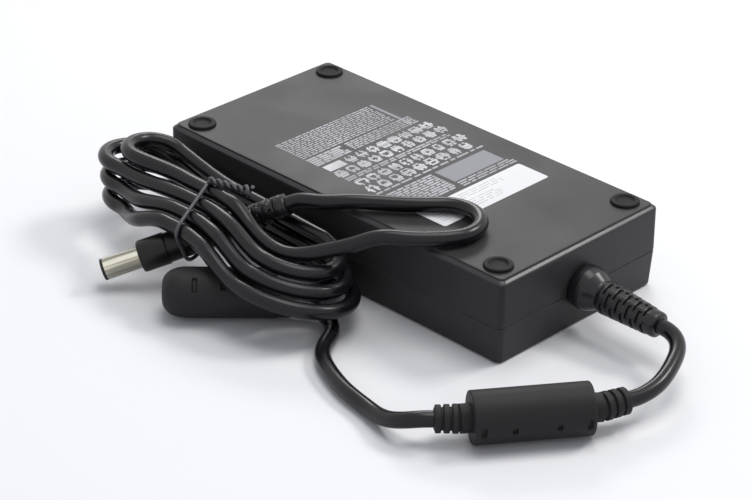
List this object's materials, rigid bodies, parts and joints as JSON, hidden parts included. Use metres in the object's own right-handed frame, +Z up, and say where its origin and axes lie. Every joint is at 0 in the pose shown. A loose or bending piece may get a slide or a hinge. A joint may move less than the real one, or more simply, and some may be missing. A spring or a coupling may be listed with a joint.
{
  "type": "laptop power adapter",
  "caption": "Flat rectangular power adapter with a mains inlet, a ribbed cord outlet, ferrite sleeves on a wound low-voltage cord, and a barrel plug.",
  "frame": {"origin": "centre of the housing's footprint, on the surface that it lies on, feet side up", "axes": "+X along the housing to the cord outlet, +Y across it away from the wound cord, +Z up"},
  "size_m": [0.2176, 0.1353, 0.0355],
  "materials": {
    "shell_plastic": "fine texture",
    "black_plastic": "moulded",
    "plated_contact": "plated",
    "soft_black": "soft sheen",
    "cord_jacket": "satin",
    "ferrite_moulding": "moulded",
    "ferrite": "sintered",
    "plug_black": "moulded",
    "nickel": "plated",
    "contact_brass": "plated",
    "tie_wire": "coated wire",
    "board_green": "resin board",
    "sheet_film": "film",
    "sheet_metal": "plain",
    "fuse_glass": "sleeved",
    "cap_yellow": "moulded",
    "choke_green": "wound",
    "choke_copper": "wound",
    "cap_blue": "sleeved",
    "tape_yellow": "tape",
    "cap_green": "sleeved",
    "wire_red": "insulated",
    "foot_rubber": "matt"
  },
  "bodies": {
    "root": {"upper_case": "shell_plastic", "lower_case": "shell_plastic", "rubber_foot_1": "foot_rubber", "rubber_foot_2": "foot_rubber", "rubber_foot_3": "foot_rubber", "rubber_foot_4": "foot_rubber", "ac_inlet_body": "black_plastic", "inlet_line_pin": "plated_contact", "inlet_neutral_pin": "plated_contact", "inlet_earth_pin": "plated_contact", "output_strain_relief": "soft_black", "cord_lead_a": "cord_jacket", "ferrite_cover_1": "ferrite_moulding", "ferrite_core_1": "ferrite", "cord_lead_b": "cord_jacket", "ferrite_cover_2": "ferrite_moulding", "ferrite_core_2": "ferrite", "cord_hank": "cord_jacket", "cord_loop": "cord_jacket", "plug_strain_relief": "soft_black", "plug_body": "plug_black", "plug_barrel": "nickel", "plug_insulator": "black_plastic", "plug_centre_pin": "contact_brass", "twist_tie": "tie_wire", "main_board": "board_green", "insulating_sheet": "sheet_film", "shield_plate": "sheet_metal", "inlet_fuse": "fuse_glass", "x_capacitor": "cap_yellow", "common_mode_choke": "choke_green", "bridge_rectifier": "black_plastic", "pfc_choke": "choke_copper", "bulk_capacitor": "cap_blue", "primary_heatsink": "sheet_metal", "switch_transistor": "black_plastic", "transformer_core": "ferrite", "transformer_winding": "tape_yellow", "y_capacitor": "cap_blue", "secondary_heatsink": "sheet_metal", "output_rectifier": "black_plastic", "output_capacitors": "cap_green", "output_choke": "choke_copper", "output_wires": "wire_red"}
  },
  "joints": []
}
